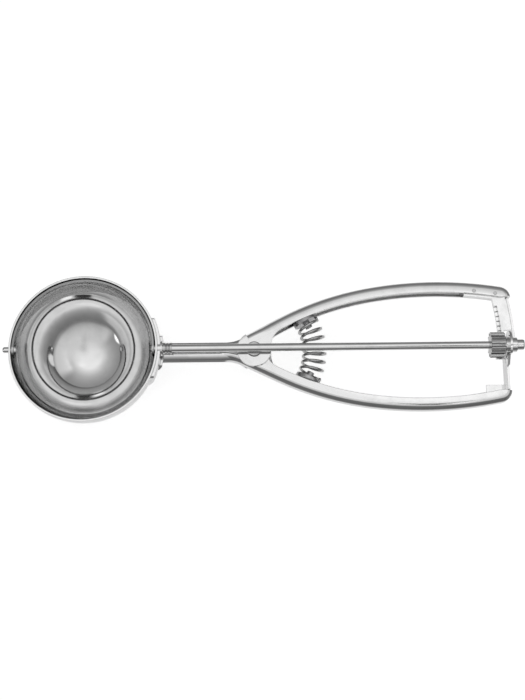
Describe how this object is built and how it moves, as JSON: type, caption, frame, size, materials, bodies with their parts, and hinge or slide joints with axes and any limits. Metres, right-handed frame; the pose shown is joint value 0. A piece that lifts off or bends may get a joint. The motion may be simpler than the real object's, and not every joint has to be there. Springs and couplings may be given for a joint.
{
  "type": "lever ice cream scoop",
  "caption": "Half-ball scoop on a folded shank; squeezing the sprung pressed-steel arms drives a rack and pinion that sweeps a wiper band round the bowl.",
  "frame": {"origin": "centre of the bowl's ball, on the axis of the long wiper rod", "axes": "+X runs along the rod from the bowl to the end of the handle, +Y across the handle to the moving lever's side, +Z out of the bowl's mouth"},
  "size_m": [0.2111, 0.06, 0.0357],
  "materials": {
    "bowl": "polished stainless steel, mirror bright",
    "wiper": "polished stainless strip",
    "rod": "ground and polished stainless rod",
    "handle": "pressed stainless sheet, tumbled and polished",
    "bracket": "pressed stainless sheet",
    "gearing": "cut steel teeth, satin",
    "rivets": "peened steel rivets",
    "bushes": "turned steel bushes",
    "small_turned": "small turned steel pieces, satin",
    "seats": "pressed steel seats, dull",
    "spring": "bare spring wire"
  },
  "bodies": {
    "handle": {"bowl": "bowl", "saddle": "bowl", "frame": "handle", "rear_bracket": "bracket", "bracket_rivets": "rivets", "pivot_rivet": "rivets", "pivot_washer": "small_turned", "pivot_spacer": "small_turned", "front_bush": "bushes", "rear_bush": "bushes", "spring_seat_frame": "seats", "return_spring": "spring"},
    "squeeze_lever": {"lever": "handle", "rack": "gearing", "rack_rivets": "rivets", "spring_seat_lever": "seats"},
    "spindle": {"rod": "rod", "wiper": "wiper", "front_pin": "rod", "pinion": "gearing", "end_cap": "rod", "thrust_collar": "small_turned", "thrust_washer": "small_turned"}
  },
  "joints": [
    {"name": "lever_squeeze", "type": "hinge", "parent": "handle", "child": "squeeze_lever", "pos_m": [0.069, 0, 0], "axis": [0, 0, -1], "range_deg": [0, 7], "stiffness_Nm_per_rad": 8, "springref_deg": -6.88, "deforming": ["return_spring"]},
    {"name": "spindle_spin", "type": "hinge", "parent": "handle", "child": "spindle", "pos_m": [0, 0, 0], "axis": [-1, 0, 0], "range_deg": [0, 154.9]}
  ],
  "couplings": [
    {"joint": "spindle_spin", "follows": "lever_squeeze", "ratio": 22.132}
  ]
}
